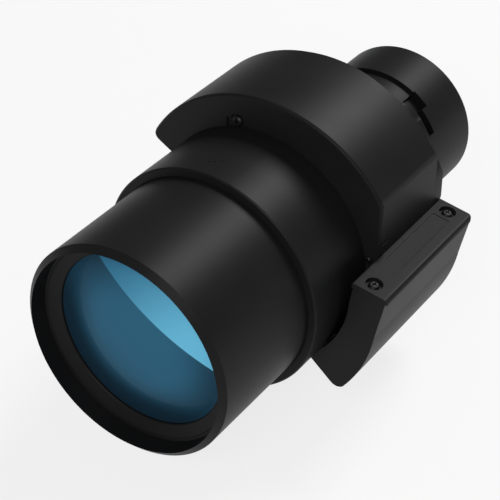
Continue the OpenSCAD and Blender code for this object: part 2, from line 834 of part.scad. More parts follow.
// Rotating cam whose slots move the two zoom cells at different rates
module zoom_cam() {
    placed(dark) difference() {
        union() {
            tube(cam_out, cam_in, -zoom_gear_front, -zoom_cam_rear);
            cam_gear(zoom_angle, zoom_gear_front, zoom_gear_rear);
        }
        tube(cam_in, 0, -focus_sleeve_front - overrun, overrun);
        for (a = variator_pins_at)
            cam_slot(a, -variator_y, cam_turn, variator_travel, cam_in - overrun, cam_out + overrun);
        for (a = compensator_pins_at)
            cam_slot(a, -compensator_y, cam_turn, compensator_travel, cam_in - overrun, cam_out + overrun);
    }
}

module cam_gear(a, front, rear) {
    prism(-front, -rear) sector_outline(ring_teeth, a, sector_half);
}

// Lens cell that slides inside the guide sleeve
module cell(y, length, pins) {
    front = -y - length / 2;
    rear = -y + length / 2;
    placed(dark) difference() {
        lathe() polygon([[cell_in, front], [cell_r, front], [cell_r, rear], [cell_stop_r, rear],
            [cell_stop_r, rear - cell_stop_t], [cell_in, rear - cell_stop_t]]);
        for (a = pins) spoke(a, -y, pin_r + fit_gap, cell_in + pin_start, cell_r + overrun);
    }
}
pin_start = 1;
retainer_t = 1.8;
retainer_in = 0.2;

module cell_pins(y, pins) {
    placed(brass) for (a = pins)
        spoke(a, -y, pin_r, cell_in + pin_start + fit_gap, cam_out - part_gap);
}

module cell_retainer(y, length) {
    front = -y - length / 2;
    placed(black) tube(cell_in - thread_gap, cell_stop_r, front + retainer_in, front + retainer_in + retainer_t);
}

module variator_cell() {
    cell(variator_y, variator_len, variator_pins_at);
}

module variator_lens() {
    front = -variator_y - variator_len / 2 + 0.2 + retainer_t;
    rear = -variator_y + variator_len / 2 - cell_stop_t;
    placed(glass) lens(zoom_lens_r, zoom_glass_r, front, -400, rear, -180);
}

module variator_retainer() {
    cell_retainer(variator_y, variator_len);
}

module variator_pins() {
    cell_pins(variator_y, variator_pins_at);
}

module compensator_cell() {
    cell(compensator_y, compensator_len, compensator_pins_at);
}

module compensator_lens() {
    front = -compensator_y - compensator_len / 2 + 0.2 + retainer_t;
    rear = -compensator_y + compensator_len / 2 - cell_stop_t;
    placed(glass) lens(zoom_lens_r, zoom_glass_r, front, 400, rear, 420);
}

module compensator_retainer() {
    cell_retainer(compensator_y, compensator_len);
}

module compensator_pins() {
    cell_pins(compensator_y, compensator_pins_at);
}

// Idler on its stub axle, in mesh with a ring: a gap faces the ring's tooth
module idler(a, front, rear) {
    placed(plastic) difference() {
        translate([idler_orbit * cos(a), 0, idler_orbit * sin(a)])
            prism(-front, -rear) gear_outline(idler_teeth, a + 180 + 180 / idler_teeth);
        rod_at(idler_orbit, a, axle_r + axle_gap, -front - overrun, -rear + overrun);
    }
}

// Motor pinion with its shaft, in mesh with the idler
module pinion(a, motor_a, front, rear) {
    ix = idler_orbit * cos(a);
    iz = idler_orbit * sin(a);
    mx = motor_orbit * cos(motor_a);
    mz = motor_orbit * sin(motor_a);
    toward = atan2(mz - iz, mx - ix);
    pitch = 360 / idler_teeth;
    turns = (toward - (a + 180)) / pitch;
    lead = (turns - round(turns)) * pitch;
    phase = toward + 180 + lead * idler_teeth / pinion_teeth;
    placed(brass) {
        translate([mx, 0, mz]) prism(-front, -rear) gear_outline(pinion_teeth, phase);
        rod(mx, mz, shaft_r, -rear, -plate_rear + nose_bore_len - seat_gap);
    }
}

module focus_idler() {
    idler(focus_angle, focus_gear_front, focus_gear_rear);
}

module focus_pinion() {
    pinion(focus_angle, focus_motor_angle, focus_gear_front, focus_gear_rear);
}

module zoom_idler() {
    idler(zoom_angle, zoom_gear_front, zoom_gear_rear);
}

module zoom_pinion() {
    pinion(zoom_angle, zoom_motor_angle, zoom_gear_front, zoom_gear_rear);
}

// Plate that carries both motors, both stub axles and the posts to the flange
module motor_bracket() {
    placed(steel) difference() {
        union() {
            intersection() {
                tube(bracket_out, bracket_in, -plate_front, -plate_rear);
                prism(-plate_front, -plate_rear)
                    polygon([[0, 0], along(2 * bracket_out, bracket_from),
                        along(2 * bracket_out, (bracket_from + bracket_to) / 2),
                        along(2 * bracket_out, bracket_to)]);
            }
            for (a = post_angles) rod_at(motor_orbit, a, post_r, -plate_rear, -flange_t);
            rod(cover_screw_x, cover_screw_z, post_r, -cover_front + cover_wall + seat_gap, -plate_front);
            stub_axle(focus_angle, focus_gear_front, focus_gear_rear);
            stub_axle(zoom_angle, zoom_gear_front, zoom_gear_rear);
        }
        rod(cover_screw_x, cover_screw_z, tap_r, -cover_front, -cover_front + 12);
        for (a = [focus_motor_angle, zoom_motor_angle])
            rod_at(motor_orbit, a, nose_r + fit_gap, -plate_front - overrun, -plate_rear + overrun);
        for (a = post_angles)
            rod_at(motor_orbit, a, tap_r, -flange_t - 10, -flange_t + overrun);
    }
}

// Stub axle with a shoulder behind its idler and a groove for the clip in front
module stub_axle(a, front, rear) {
    rod_at(idler_orbit, a, axle_r, -front - clip_ahead, -plate_front);
    rod_at(idler_orbit, a, axle_r - clip_groove, -front - axle_end, -plate_front);
    rod_at(idler_orbit, a, idler_orbit - barrel_r - seat_gap, -rear + part_gap, -plate_front);
}

clip_out_r = axle_r + 1.4;
module idler_clips() {
    placed(steel) {
        idler_clip(focus_angle, focus_gear_front);
        idler_clip(zoom_angle, zoom_gear_front);
    }
}

module idler_clip(a, front) {
    difference() {
        rod_at(idler_orbit, a, clip_out_r, -front - axle_end + seat_gap, -front - clip_ahead);
        rod_at(idler_orbit, a, axle_r - clip_groove + fit_gap, -front - axle_end - overrun, -front);
        at_angle(a) translate([idler_orbit, -front - axle_end - overrun, -0.7])
            cube([4, axle_end + overrun, 1.4]);
    }
}

module motor(a) {
    placed(steel) difference() {
        union() {
            rod_at(motor_orbit, a, nose_r, -plate_front, -plate_rear);
            rod_at(motor_orbit, a, motor_r, -plate_rear, -motor_rear);
            rod_at(motor_orbit, a, nose_r, -motor_rear, -motor_rear + 1.5);
        }
        rod_at(motor_orbit, a, shaft_r + axle_gap, -plate_front - overrun, -plate_rear + nose_bore_len);
        for (side = [-1, 1])
            at_angle(a) translate([motor_orbit + side * (motor_r + 1.4) - 2, -plate_rear + 6, -motor_r])
                cube([4, motor_len - 9, 2 * motor_r]);
    }
}

module focus_motor() {
    motor(focus_motor_angle);
}

module zoom_motor() {
    motor(zoom_motor_angle);
}

// Crescent cover over the motors
module cover_outline(inset) {
    end_in = along(cover_under_r - overrun, cover_end_angle);
    corner_r = max(cover_corner - inset, 0.5);
    tip_r = cover_tip_r - inset;
    tip_turn = asin(corner_r / (tip_r - corner_r));
    edge_shift = asin(min(0.9, inset / (cover_under_r)));
    tip_a = cover_end_angle - edge_shift;
    tip_c = along(sqrt(pow(tip_r - corner_r, 2) - corner_r * corner_r), tip_a);
    c = tip_c + along(corner_r, tip_a - 90);
    intersection() {
        translate([cover_shift_x, cover_shift_z]) circle(r = cover_r + overrun - inset);
        polygon(concat(
            [along(cover_under_r - overrun, tip_a)],
            arc(c[0], c[1], corner_r, tip_a + 90, tip_a - tip_turn, 6),
            [along(2 * cover_r, tip_a - 8), along(2 * cover_r, 90), [cover_side - inset, 2 * cover_r],
             [cover_side - inset, lid_line_z + inset], [lid_line_x, lid_line_z + inset],
             along(cover_under_r - overrun, 2)]));
    }
}
lid_line = tilt_point(lid_in, lid_top);
lid_line_x = lid_line[0] - 1.2;
lid_line_z = lid_line[1];
cover_tip_r = cover_r - 1.6;

module motor_cover() {
    placed(black) difference() {
        union() {
            intersection() {
                prism(-cover_front, -cover_rear) cover_outline(0);
                cover_turned(cover_r, cover_fillet, cover_front);
                side_rounding();
            }
            side_lug(-cover_front, -cover_front + side_foot_t);
        }
        intersection() {
            prism(-cover_front + cover_wall, -cover_rear + overrun) cover_outline(cover_wall);
            cover_turned(cover_in_r, cover_fillet / 2, cover_front - cover_wall);
        }
        tube(cover_under_r, 0, -cover_front - overrun, 0);
        intersection() {
            prism(-cover_front + side_foot_t, -cover_front + side_foot_t + side_lug_t + seat_gap)
                square(4 * barrel_r, center = true);
            under_lid_line(0);
        }
        cover_notch();
        rod(cover_screw_x, cover_screw_z, screw_hole_r, -cover_front - overrun, -cover_front + 2 * cover_wall);
        rod(side_screw_x, side_screw_z, screw_hole_r, -cover_front - overrun, 0);
    }
}

// Round outer wall of the cover with its front edge fillet
module cover_turned(r, fillet, front) {
    translate([cover_shift_x, 0, cover_shift_z]) lathe() polygon(concat(
        [[0, -front]], [for (i = [0 : 6]) [r - fillet + fillet * sin(15 * i), -front + fillet - fillet * cos(15 * i)]],
        [[r, 0], [0, 0]]));
}

// Rounds the front edge of the cover's flat side
module side_rounding() {
    far = 2 * cover_r;
    translate([0, 0, -far]) linear_extrude(2 * far) polygon(concat(
        [[-far, -cover_front]],
        [for (i = [0 : 6]) [cover_side - cover_fillet + cover_fillet * sin(15 * i),
            -cover_front + cover_fillet - cover_fillet * cos(15 * i)]],
        [[cover_side, 0], [-far, 0]]));
}

module cover_notch() {
    prism(-cover_front - overrun, -cover_front + cover_notch_d) translate([cover_screw_x, cover_screw_z]) {
        circle(r = 3.9);
        translate([-cover_notch_half, -cover_notch_half]) square([2 * cover_notch_half, cover_notch_half + 0.6]);
    }
}

module cover_screws() {
    placed(steel) {
        cross_screw(cover_screw_x, cover_screw_z, -cover_front + cover_notch_d, 9, screw_r, head_r, head_h);
        cross_screw(side_screw_x, side_screw_z, -cover_front, 11, screw_r, side_head_r, side_head_h);
    }
}

// Side box: cross-section in the tilted frame, inset by a wall
module box_outline(inset, top) {
    foot_z = hollow_centre[1] - sqrt(pow(hollow_r + inset, 2) - pow(box_in + inset - hollow_centre[0], 2));
    low = box_end_angle + box_tilt;
    corner_r = max(box_corner - inset, 0.5);
    cut_shift = asin(inset / 68);
    corner_a = low + cut_shift;
    reach = box_arc_r - inset - corner_r + corner_blend;
    span = sqrt(reach * reach - corner_r * corner_r);
    c = along(span, corner_a) + along(corner_r, corner_a + 90);
    turn = asin(corner_r / reach);
    difference() {
        intersection() {
            union() {
                circle(r = box_arc_r - inset);
                polygon([[0, foot_z], [box_arc_r - inset, foot_z], [box_out - inset, top], [0, top]]);
            }
            polygon(concat(
                [[box_in + inset, top], [box_in + inset, foot_z], [0, foot_z], along(30, corner_a)],
                arc(c[0], c[1], corner_r, corner_a - 90, corner_a + turn, 6),
                [along(2 * box_arc_r, corner_a + 5), [2 * box_arc_r, top]]));
        }
        translate(hollow_centre) circle(r = hollow_r + inset);
        circle(r = barrel_r + part_gap + inset);
    }
}
hollow_centre = [hollow_x * cos(box_tilt) - hollow_z * sin(box_tilt), hollow_x * sin(box_tilt) + hollow_z * cos(box_tilt)];

module tilted() {
    at_angle(-box_tilt) children();
}

module box_body() {
    placed(black) difference() {
        union() {
            box_shell();
            for (y = box_screws_y) box_pad(y);
        }
        tube(barrel_r + fit_gap, 0, -box_front - overrun, 0);
        for (y = box_screws_y) spoke(box_screw_angle, y, tap_r, barrel_r - overrun, barrel_r + box_pad_len + overrun);
    }
}

// Pad between the box and the barrel for a screw from inside the barrel
module box_pad(y) {
    spoke(box_screw_angle, y, box_pad_r, barrel_r - overrun, barrel_r + box_pad_len);
}

module box_shell() {
    tilted() difference() {
        prism(-box_front, -box_rear) box_outline(0, box_top);
        difference() {
            prism(-box_front + box_wall, -box_rear - box_wall) box_outline(box_wall, box_top + overrun);
            for (y = [-lid_screw_front, -lid_screw_rear]) box_boss(y);
            for (y = board_screws_y) board_post(y, board_x, board_post_r);
        }
        for (y = board_screws_y) translate([overrun, 0, 0]) board_post(y, board_x, board_tap_r);
        for (y = [-lid_screw_front, -lid_screw_rear])
            translate([lid_screw_x, y, box_top - 12]) cylinder(r = tap_r, h = 14);
        translate([plug_x0 - seat_gap, -box_rear - plug_depth, plug_z0 - seat_gap])
            cube([plug_x1 - plug_x0 + 2 * seat_gap, plug_depth + overrun, plug_z1 - plug_z0 + 2 * seat_gap]);
    }
}

module box_boss(y) {
    front = y < -box_front / 2;
    wall = front ? -box_front + overrun : -box_rear - overrun;
    translate([lid_screw_x, y, boss_low]) cylinder(r = boss_r, h = box_top - boss_low);
    translate([lid_screw_x - boss_r, min(y, wall), boss_low])
        cube([2 * boss_r, abs(wall - y), box_top - boss_low]);
}

module board_post(y, x1, r) {
    translate([box_in, y, board_screw_z]) rotate([0, 90, 0]) cylinder(r = r, h = x1 - box_in);
}

// Lid plate of the side box, with a bare shallow panel and two sunk screws
module box_lid() {
    far = 200;
    placed(black) tilted() difference() {
        intersection() {
            prism(-box_front, -box_rear) polygon(concat(
                [[lid_in, box_top], [lid_out, box_top]],
                arc(lid_out - lid_fillet, lid_top - lid_fillet, lid_fillet, 0, 90, 6),
                [[lid_in + 0.4, lid_top], [lid_in, lid_top - 0.4]]));
            translate([0, 0, -far / 2]) linear_extrude(far) lid_plan();
        }
        for (y = [-lid_screw_front, -lid_screw_rear]) translate([lid_screw_x, y, 0]) {
            cylinder(r = screw_hole_r, h = lid_top + overrun);
            translate([0, 0, lid_top - lid_sink_d]) cylinder(r = lid_sink_r, h = lid_sink_d + overrun);
        }
        translate([label_x0, -label_front, lid_top - label_d])
            cube([label_x1 - label_x0, label_front - label_rear, label_d + overrun]);
    }
}

module lid_plan() {
    round_r = 3;
    polygon(concat(
        [[lid_in, -box_front], [lid_out - 1, -box_front], [lid_out, -box_front + 1]],
        arc(lid_out - round_r, -box_rear - round_r, round_r, 0, 90, 5),
        [[lid_in, -box_rear]]));
}

module lid_screws() {
    placed(steel) tilted() for (y = [-lid_screw_front, -lid_screw_rear])
        translate([lid_screw_x, y, 0]) rotate([-90, 0, 0])
            cross_screw(0, 0, -(lid_top - lid_sink_d), 9, screw_r, head_r, 1.6);
}

// Board inside the side box that carries the plug's contacts
module circuit_board() {
    placed([0.1, 0.35, 0.15]) tilted() difference() {
        translate([board_x, -board_front, board_low])
            cube([board_t, board_front - box_rear - plug_depth, board_h]);
        for (y = board_screws_y) board_post(y, board_x + board_t + overrun, board_tap_r + seat_gap);
        translate([board_x - overrun, -lid_screw_rear - boss_r - part_gap, boss_low - part_gap])
            cube([board_t + 2 * overrun, lid_screw_rear + boss_r, board_h]);
    }
}

module board_screws() {
    placed(steel) tilted() for (y = board_screws_y) {
        translate([board_x - board_screw_len, y, board_screw_z]) rotate([0, 90, 0])
            cylinder(r = board_tap_r - fit_gap, h = board_screw_len + board_t);
        translate([board_x + board_t, y, board_screw_z]) rotate([0, 90, 0])
            cylinder(r = board_head_r, h = board_head_h);
    }
}

module box_screws() {
    placed(steel) for (y = box_screws_y) {
        spoke(box_screw_angle, y, screw_r, barrel_in, barrel_r + box_pad_len);
        difference() {
            spoke(box_screw_angle, y, head_r, barrel_in - box_head_h, barrel_in);
            at_angle(box_screw_angle) for (turn = [0, 90])
                translate([barrel_in - box_head_h, y, 0]) rotate([turn, 0, 0])
                    translate([-overrun, -cross_len / 2, -cross_w / 2])
                        cube([overrun + cross_depth, cross_len, cross_w]);
        }
    }
}

// Socket body set in the box's rear wall
module connector() {
    placed([0.08, 0.08, 0.08]) tilted() difference() {
        translate([plug_x0, -box_rear - plug_depth, plug_z0])
            cube([plug_x1 - plug_x0, plug_depth, plug_z1 - plug_z0]);
        translate([plug_x0 + plug_wall, -box_rear - plug_depth + plug_wall, plug_z0 + plug_wall])
            cube([plug_x1 - plug_x0 - 2 * plug_wall, plug_depth, plug_z1 - plug_z0 - 2 * plug_wall]);
        contact_places() rod(0, 0, contact_r + fit_gap, -box_front, 0);
    }
}

module contact_places() {
    for (i = [0 : contact_rows - 1]) for (j = [0 : contact_count - 1])
        translate([board_x + board_t / 2 + (2 * i - 1) * (board_t / 2 + contact_r + fit_gap), 0,
            plug_z0 + contact_first + contact_pitch * j]) children();
}

module contact_pins() {
    placed(brass) tilted() contact_places()
        rod(0, 0, contact_r, -box_rear - plug_depth - 1.5, -box_rear - 1.5);
}

module flange_screws() {
    placed(steel) mirror([0, 1, 0]) {
        for (a = post_angles) flange_screw(motor_orbit, a);
        for (a = barrel_screws_at) flange_screw(barrel_screw_orbit, a);
    }
}

module flange_screw(orbit, a) {
    cross_screw(orbit * cos(a), orbit * sin(a), flange_head_d, 14, screw_r, head_r, head_h);
}

module sleeve_screws() {
    placed(steel) for (a = sleeve_screws_at)
        cross_screw(sleeve_screw_orbit * cos(a), sleeve_screw_orbit * sin(a), -sleeve_rear + sleeve_head_h + seat_gap,
            sleeve_rear - sleeve_head_h - seat_gap - sleeve_screw_end, sleeve_screw_r, sleeve_head_r, sleeve_head_h);
}

main_barrel();
focus_barrel();
front_retainer();
front_lens();
second_lens();
second_retainer();
focus_pins();
mount_flange();
rear_barrel();
rear_cell();
rear_inner_lens();
rear_outer_lens();
rear_inner_retainer();
rear_retainer();
guide_sleeve();
front_clip();
thrust_ring();
focus_ring();
zoom_cam();
variator_cell();
variator_lens();
variator_retainer();
variator_pins();
compensator_cell();
compensator_lens();
compensator_retainer();
compensator_pins();
focus_idler();
focus_pinion();
zoom_idler();
zoom_pinion();
motor_bracket();
focus_motor();
zoom_motor();
motor_cover();
cover_screws();
box_body();
box_lid();
lid_screws();
circuit_board();
connector();
contact_pins();
flange_screws();
sleeve_screws();
idler_clips();
box_screws();
board_screws();
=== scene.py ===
import json
import math
import bmesh
import bpy
from mathutils import Matrix, Vector


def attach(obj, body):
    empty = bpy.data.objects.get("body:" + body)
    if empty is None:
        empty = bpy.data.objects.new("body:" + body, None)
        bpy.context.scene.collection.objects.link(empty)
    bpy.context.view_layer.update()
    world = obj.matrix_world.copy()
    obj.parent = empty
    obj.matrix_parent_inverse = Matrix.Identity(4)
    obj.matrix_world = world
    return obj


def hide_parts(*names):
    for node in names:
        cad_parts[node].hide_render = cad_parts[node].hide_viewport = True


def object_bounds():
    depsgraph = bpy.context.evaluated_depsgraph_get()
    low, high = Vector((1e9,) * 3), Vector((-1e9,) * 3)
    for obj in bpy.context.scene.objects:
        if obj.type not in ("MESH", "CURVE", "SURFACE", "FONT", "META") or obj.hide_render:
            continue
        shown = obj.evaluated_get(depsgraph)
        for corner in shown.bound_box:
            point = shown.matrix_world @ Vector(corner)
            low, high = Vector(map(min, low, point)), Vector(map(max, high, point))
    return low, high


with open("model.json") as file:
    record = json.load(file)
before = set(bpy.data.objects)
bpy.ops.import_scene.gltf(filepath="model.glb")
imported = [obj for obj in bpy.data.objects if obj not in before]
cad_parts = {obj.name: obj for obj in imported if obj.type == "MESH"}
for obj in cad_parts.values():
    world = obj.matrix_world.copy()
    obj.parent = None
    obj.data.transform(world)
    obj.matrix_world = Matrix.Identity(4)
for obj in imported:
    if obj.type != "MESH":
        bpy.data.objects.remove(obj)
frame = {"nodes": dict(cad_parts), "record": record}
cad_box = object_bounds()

nodes = frame["nodes"]
record = frame["record"]
per_metre = 1000  # sizes are written in millimetres and divided by this
bpy.context.scene.view_settings.view_transform = "Standard"

# Camera at the photograph's viewing angle: a long lens well ahead of the
# glass, to its right and above it, level with the horizon.
camera_data = bpy.data.cameras.new("camera")
camera_data.lens = 112.04
camera_data.sensor_width = 36
camera_data.clip_end = 20
camera = bpy.data.objects.new("camera", camera_data)
bpy.context.scene.collection.objects.link(camera)
camera_place = (0.3458, -0.64935, 0.4392)
camera_right = Vector((0.8294, 0.5587, 0))
camera_back = Vector((0.4547, -0.6750, 0.5811)).normalized()
camera_up = camera_back.cross(camera_right).normalized()
camera_turn = Matrix((camera_right.normalized(), camera_up, camera_back)).transposed()
camera.matrix_world = Matrix.Translation(camera_place) @ camera_turn.to_4x4()
bpy.context.scene.camera = camera


# Floor and backdrop in one: a plain pale sheet under the flange, nearly white
# to the camera, which still takes the object's shadow.
class Field:
    """One socket, wrapped so that plain expressions add the nodes."""

    def __init__(self, tree, socket):
        self.tree = tree
        self.socket = socket

    def node(self, kind, settings=None, inputs=None, output=0):
        made = self.tree.nodes.new(kind)
        for name, value in (settings or {}).items():
            setattr(made, name, value)
        for name, value in (inputs or {}).items():
            if isinstance(value, Field):
                self.tree.links.new(value.socket, made.inputs[name])
            else:
                made.inputs[name].default_value = value
        return Field(self.tree, made.outputs[output])

    def maths(self, operation, *values):
        return self.node("ShaderNodeMath", {"operation": operation}, dict(enumerate(values)))

    def __add__(self, other): return self.maths("ADD", self, other)
    def __radd__(self, other): return self.maths("ADD", other, self)
    def __sub__(self, other): return self.maths("SUBTRACT", self, other)
    def __rsub__(self, other): return self.maths("SUBTRACT", other, self)
    def __mul__(self, other): return self.maths("MULTIPLY", self, other)
    def __rmul__(self, other): return self.maths("MULTIPLY", other, self)
    def __gt__(self, other): return self.maths("GREATER_THAN", self, other)
    def __lt__(self, other): return self.maths("LESS_THAN", self, other)
    def __pow__(self, other): return self.maths("POWER", self, other)

    def between(self, low, high, to_low=0.0, to_high=1.0):
        return self.node("ShaderNodeMapRange", {"interpolation_type": "SMOOTHSTEP"},
                         {"Value": self, "From Min": low, "From Max": high, "To Min": to_low, "To Max": to_high})

    def mix(self, one, other):
        return self.node("ShaderNodeMix", {"data_type": "RGBA"}, {0: self, 6: one, 7: other}, 2)


def finish_of(name, **constants):
    """A new material; returns it, its place field and a setter for the shader's sockets."""
    material = bpy.data.materials.new(name)
    material.use_nodes = True
    tree = material.node_tree
    shader = tree.nodes["Principled BSDF"]
    for socket, value in constants.items():
        shader.inputs[socket.replace("_", " ")].default_value = value
    place = Field(tree, tree.nodes.new("ShaderNodeTexCoord").outputs["Object"])

    def feed(**fields):
        for socket, field in fields.items():
            tree.links.new(field.socket, shader.inputs[socket.replace("_", " ")])
    return material, place, feed


floor_z = cad_box[0][2] - 0.0002
floor_half = 9
floor_grey = (0.82, 0.82, 0.82, 1)
white_share = 0.8
floor_mesh = bpy.data.meshes.new("floor")
floor_mesh.from_pydata([(x * floor_half, y * floor_half, floor_z) for x, y in ((-1, -1), (1, -1), (1, 1), (-1, 1))],
                       [], [(0, 1, 2, 3)])
floor = bpy.data.objects.new("floor", floor_mesh)
bpy.context.scene.collection.objects.link(floor)
floor_paint, place, feed = finish_of("floor_paint", Base_Color=floor_grey, Roughness=0.9, Specular_IOR_Level=0.1)
paint = Field(place.tree, place.tree.nodes["Principled BSDF"].outputs[0])
rays = place.tree.nodes.new("ShaderNodeLightPath").outputs
seen = Field(place.tree, rays["Is Camera Ray"])
for ray in ("Is Glossy Ray", "Is Transmission Ray"):
    seen = seen.maths("MAXIMUM", seen, Field(place.tree, rays[ray]))
glow = place.node("ShaderNodeEmission", {}, {"Color": (1, 1, 1, 1), "Strength": 1.0})
mixed = place.node("ShaderNodeMixShader", {}, {0: seen * white_share, 1: paint, 2: glow})
place.tree.links.new(mixed.socket, place.tree.nodes["Material Output"].inputs["Surface"])
floor_mesh.materials.append(floor_paint)

# Lights: a large soft box above and behind, which draws the long highlights,
# a weaker one ahead of the glass on the right, and a grey surround.
world = bpy.data.worlds.new("surround")
world.use_nodes = True
world.node_tree.nodes["Background"].inputs["Color"].default_value = (0.8, 0.8, 0.8, 1)
world.node_tree.nodes["Background"].inputs["Strength"].default_value = 0.2
bpy.context.scene.world = world


def soft_box(name, place, aim, width, height, power):
    lamp = bpy.data.lights.new(name, "AREA")
    lamp.shape = "RECTANGLE"
    lamp.size = width
    lamp.size_y = height
    lamp.energy = power
    made = bpy.data.objects.new(name, lamp)
    bpy.context.scene.collection.objects.link(made)
    made.location = place
    made.rotation_euler = (Vector(aim) - Vector(place)).to_track_quat("-Z", "Y").to_euler()


soft_box("soft_box_back", (0.3, 1.3, 1.65), (0, -0.05, 0), 0.7, 0.9, 34)
soft_box("soft_box_front", (0.5, -1.55, 1.1), (-0.02, -0.2, 0), 0.8, 0.8, 14)


# Hood: the long front tube, turned from aluminium and painted satin black,
# with small breaks on every turned edge. It slides in the main barrel.
def noise(place, scale, detail=2.0, roughness=0.5, stretch=None):
    if stretch:
        place = place.node("ShaderNodeVectorMath", {"operation": "MULTIPLY"}, {0: place, 1: stretch})
    return place.node("ShaderNodeTexNoise", {}, {"Vector": place, "Scale": scale, "Detail": detail,
                                                 "Roughness": roughness})


def mottled(field, dark, pale, low=0.3, high=0.7):
    """Colour between two shades, by a noise whose middle range runs from low to high."""
    return field.between(low, high).mix(dark, pale)


def bumped(height, strength, depth):
    """Normal from a height field, with the depth in millimetres."""
    return height.node("ShaderNodeBump", {}, {"Strength": strength, "Distance": depth / per_metre, "Height": height})


node_body = {name: body for body, members in record["behaviour"]["bodies"].items() for name in members}


def settle(piece, name):
    """The piece stands for the node, on its body; the node is hidden."""
    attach(piece, node_body[name])
    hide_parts(name)


def piece_of(name, mesh, material):
    mesh.materials.clear()
    mesh.materials.append(material)
    piece = bpy.data.objects.new(name, mesh)
    bpy.context.scene.collection.objects.link(piece)
    return piece


merge_distance = 2e-6
flat_within = math.radians(0.4)
sharp_from = math.radians(35)


def broken_edges(name, width, material):
    """Copy of a node with its points merged and its sharp edges rounded by a width in millimetres."""
    made = bmesh.new()
    made.from_mesh(nodes[name].data)
    bmesh.ops.remove_doubles(made, verts=made.verts, dist=merge_distance)
    bmesh.ops.dissolve_limit(made, angle_limit=flat_within, verts=made.verts, edges=made.edges)
    for face in made.faces:
        face.smooth = True
    mesh = bpy.data.meshes.new(name + "_rough")
    made.to_mesh(mesh)
    made.free()
    rough = bpy.data.objects.new(name + "_rough", mesh)
    bpy.context.scene.collection.objects.link(rough)
    bevel = rough.modifiers.new("edges", "BEVEL")
    bevel.width = width / per_metre
    bevel.segments = 2
    bevel.limit_method = "ANGLE"
    bevel.angle_limit = sharp_from
    rough.modifiers.new("normals", "WEIGHTED_NORMAL")
    finished = bpy.data.meshes.new_from_object(rough.evaluated_get(bpy.context.evaluated_depsgraph_get()))
    bpy.data.objects.remove(rough)
    settle(piece_of(name + "_finished", finished, material), name)


hood_dark, hood_pale = (0.0105, 0.0106, 0.0112, 1), (0.0125, 0.0126, 0.0133, 1)
hood_edge = 0.25
hood_paint, place, feed = finish_of("hood_paint", Specular_IOR_Level=0.1)
grain = noise(place, scale=1400)
marks = noise(place, scale=50, detail=3, roughness=0.6, stretch=(0.25, 40, 0.25))
feed(Base_Color=mottled(noise(place, scale=30), hood_dark, hood_pale),
     Roughness=0.4 + 0.05 * noise(place, scale=30, detail=3) + 0.04 * marks,
     Normal=bumped(grain * 0.7 + marks * 0.3, strength=0.12, depth=0.03))
broken_edges("focus_barrel", hood_edge, hood_paint)


# Front retainer: conical ring screwed into the hood in front of the glass,
# anodised black like the fixed barrels and the inner retainers.
def dress(material, *names):
    """Gives CAD nodes that are shown as they are their material."""
    for name in names:
        nodes[name].data.materials.clear()
        nodes[name].data.materials.append(material)


anodised_dark, anodised_pale = (0.0105, 0.0106, 0.0112, 1), (0.0125, 0.0127, 0.0134, 1)
retainer_edge = 0.2
anodised, place, feed = finish_of("anodised_black", Specular_IOR_Level=0.1)
marks = noise(place, scale=60, detail=3, roughness=0.6, stretch=(0.2, 60, 0.2))
grain = noise(place, scale=900)
feed(Base_Color=mottled(marks, anodised_dark, anodised_pale),
     Roughness=0.38 + 0.06 * noise(place, scale=25, detail=3) + 0.06 * marks,
     Normal=bumped(marks * 0.6 + grain * 0.4, strength=0.16, depth=0.04))
broken_edges("front_retainer", retainer_edge, anodised)
dress(anodised, "rear_retainer", "rear_inner_retainer", "second_retainer", "variator_retainer",
      "compensator_retainer")


# Front glass: a ground and polished meniscus with a blue green coating. A reflection is painted into its colour,
# inside a shallow arc and brighter towards the lower right, and painted shade darkens it towards the rim and the
# lower left.
def apart(place):
    made = place.tree.nodes.new("ShaderNodeSeparateXYZ")
    place.tree.links.new(place.socket, made.inputs[0])
    return [Field(place.tree, made.outputs[i]) for i in range(3)]


def from_axis(x, z):
    return (x * x + z * z) ** 0.5


def turned(name, outline, material, steps=240, sharp=math.radians(32)):
    """Closed ring turned about the optical axis from an outline of (radius, y) in millimetres."""
    made = bmesh.new()
    rings = []
    for i in range(steps):
        turn = 2 * math.pi * i / steps
        rings.append([made.verts.new((r * math.cos(turn) / per_metre, y / per_metre, r * math.sin(turn) / per_metre))
                      for r, y in outline])
    for here, there in zip(rings, rings[1:] + rings[:1]):
        for j in range(len(outline) - 1):
            made.faces.new((here[j], here[j + 1], there[j + 1], there[j]))
    bmesh.ops.remove_doubles(made, verts=made.verts, dist=1e-7)
    bmesh.ops.recalc_face_normals(made, faces=made.faces)
    for face in made.faces:
        face.smooth = True
    for edge in made.edges:
        edge.smooth = edge.calc_face_angle(0) < sharp
    mesh = bpy.data.meshes.new(name)
    made.to_mesh(mesh)
    made.free()
    return piece_of(name, mesh, material)


def dome(curve, edge_r, edge_y, steps=40):
    """Points of a shallow ball from the axis out to its edge, as (radius, y)."""
    edge_sag = curve - math.sqrt(curve * curve - edge_r * edge_r)
    return [(edge_r * i / steps, edge_y - edge_sag + curve - math.sqrt(curve * curve - (edge_r * i / steps) ** 2))
            for i in range(steps + 1)]


